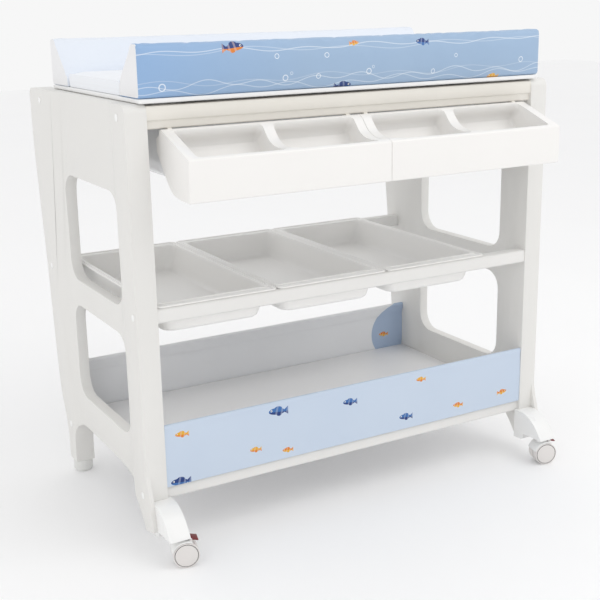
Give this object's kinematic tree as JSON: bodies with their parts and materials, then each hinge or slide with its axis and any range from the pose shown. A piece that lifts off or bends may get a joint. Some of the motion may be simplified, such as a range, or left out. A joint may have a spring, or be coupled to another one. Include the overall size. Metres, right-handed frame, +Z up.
{
  "type": "changing table",
  "caption": "Bath and changing table on castors: hinged padded changing top over a tub, hanging organiser trays, lift-out storage bins and a fabric-sided bottom shelf.",
  "frame": {"origin": "on the floor, at the centre of the whole table's footprint", "axes": "+X to the right seen from the front, +Y from the trays towards the back, +Z up"},
  "size_m": [0.962, 0.687, 0.961],
  "materials": {
    "panel_plastic": "satin moulded",
    "rail_cream": "satin",
    "rail_white": "satin",
    "board_grey": "satin laminate",
    "print_fabric": "printed woven polyester",
    "zinc_steel": "zinc plated",
    "bracket_white": "gloss moulded",
    "foot_plastic": "satin",
    "cap_white": "gloss",
    "tub_white": "gloss moulded",
    "plug_rubber": "soft",
    "board_white": "satin laminate",
    "mat_vinyl": "printed vinyl",
    "bolster_vinyl": "printed vinyl",
    "tray_white": "gloss moulded",
    "bin_white": "gloss moulded",
    "castor_white": "gloss moulded",
    "wheel_grey": "satin moulded",
    "tab_red": "satin moulded"
  },
  "bodies": {
    "frame": {"side_panel_left": "panel_plastic", "side_panel_right": "panel_plastic", "front_top_rail": "rail_cream", "rear_top_rail": "rail_cream", "shelf_front_rail": "rail_white", "shelf_rear_rail": "rail_white", "bottom_front_rail": "rail_white", "bottom_rear_rail": "rail_white", "bottom_board": "board_grey", "fabric_front_panel": "print_fabric", "fabric_rear_panel": "print_fabric", "fabric_rod_front": "zinc_steel", "fabric_rod_rear": "zinc_steel", "castor_bracket_left": "bracket_white", "castor_bracket_right": "bracket_white", "rear_foot_left": "foot_plastic", "rear_foot_right": "foot_plastic", "frame_bolts_left": "zinc_steel", "frame_bolts_right": "zinc_steel", "bolt_caps_left": "cap_white", "bolt_caps_right": "cap_white", "hinge_fixed_leaves": "zinc_steel", "hinge_pins": "zinc_steel", "tray_hinge_rods": "zinc_steel", "bath_tub": "tub_white"},
    "changing_top": {"changing_board": "board_white", "mat_pad": "mat_vinyl", "bolster_front": "bolster_vinyl", "bolster_rear": "bolster_vinyl", "hinge_moving_leaves": "zinc_steel"},
    "tray_left": {"organiser_tray_left": "tray_white"},
    "tray_right": {"organiser_tray_right": "tray_white"},
    "bin_left": {"storage_bin_left": "bin_white"},
    "bin_centre": {"storage_bin_centre": "bin_white"},
    "bin_right": {"storage_bin_right": "bin_white"},
    "plug": {"drain_plug": "plug_rubber"},
    "castor_left": {"castor_hood_left": "castor_white", "castor_axle_left": "zinc_steel"},
    "wheel_front_left": {"wheel_front_left": "wheel_grey"},
    "wheel_back_left": {"wheel_back_left": "wheel_grey"},
    "brake_left": {"brake_tab_left": "tab_red"},
    "castor_right": {"castor_hood_right": "castor_white", "castor_axle_right": "zinc_steel"},
    "wheel_front_right": {"wheel_front_right": "wheel_grey"},
    "wheel_back_right": {"wheel_back_right": "wheel_grey"},
    "brake_right": {"brake_tab_right": "tab_red"}
  },
  "joints": [
    {"name": "top_hinge", "type": "hinge", "parent": "frame", "child": "changing_top", "pos_m": [0, 0.265, 0.859], "axis": [-1, 0, 0], "range_deg": [0, 90]},
    {"name": "tray_left_tip", "type": "hinge", "parent": "frame", "child": "tray_left", "pos_m": [-0.207, -0.2185, 0.806], "axis": [-1, 0, 0], "range_deg": [0, 25]},
    {"name": "tray_right_tip", "type": "hinge", "parent": "frame", "child": "tray_right", "pos_m": [0.207, -0.2185, 0.806], "axis": [-1, 0, 0], "range_deg": [0, 25]},
    {"name": "bin_left_lift", "type": "slide", "parent": "frame", "child": "bin_left", "axis": [0, 0, 1], "range_m": [0, 0.12]},
    {"name": "bin_centre_lift", "type": "slide", "parent": "frame", "child": "bin_centre", "axis": [0, 0, 1], "range_m": [0, 0.12]},
    {"name": "bin_right_lift", "type": "slide", "parent": "frame", "child": "bin_right", "axis": [0, 0, 1], "range_m": [0, 0.12]},
    {"name": "plug_lift", "type": "slide", "parent": "frame", "child": "plug", "axis": [0, 0, 1], "range_m": [0, 0.03]},
    {"name": "castor_left_swivel", "type": "hinge", "parent": "frame", "child": "castor_left", "pos_m": [-0.444, -0.2925, 0.057], "axis": [0, 0, 1], "continuous": true},
    {"name": "wheel_front_left_spin", "type": "hinge", "parent": "castor_left", "child": "wheel_front_left", "pos_m": [-0.43627, -0.29457, 0.025], "axis": [0.2588, 0.9659, 0], "continuous": true},
    {"name": "wheel_back_left_spin", "type": "hinge", "parent": "castor_left", "child": "wheel_back_left", "pos_m": [-0.43627, -0.29457, 0.025], "axis": [0.2588, 0.9659, 0], "continuous": true},
    {"name": "brake_left_press", "type": "hinge", "parent": "castor_left", "child": "brake_left", "pos_m": [-0.42661, -0.29716, 0.054], "axis": [0.2588, 0.9659, 0], "range_deg": [0, 10]},
    {"name": "castor_right_swivel", "type": "hinge", "parent": "frame", "child": "castor_right", "pos_m": [0.444, -0.2925, 0.057], "axis": [0, 0, 1], "continuous": true},
    {"name": "wheel_front_right_spin", "type": "hinge", "parent": "castor_right", "child": "wheel_front_right", "pos_m": [0.45173, -0.29457, 0.025], "axis": [0.2588, 0.9659, 0], "continuous": true},
    {"name": "wheel_back_right_spin", "type": "hinge", "parent": "castor_right", "child": "wheel_back_right", "pos_m": [0.45173, -0.29457, 0.025], "axis": [0.2588, 0.9659, 0], "continuous": true},
    {"name": "brake_right_press", "type": "hinge", "parent": "castor_right", "child": "brake_right", "pos_m": [0.46139, -0.29716, 0.054], "axis": [0.2588, 0.9659, 0], "range_deg": [0, 10]}
  ]
}
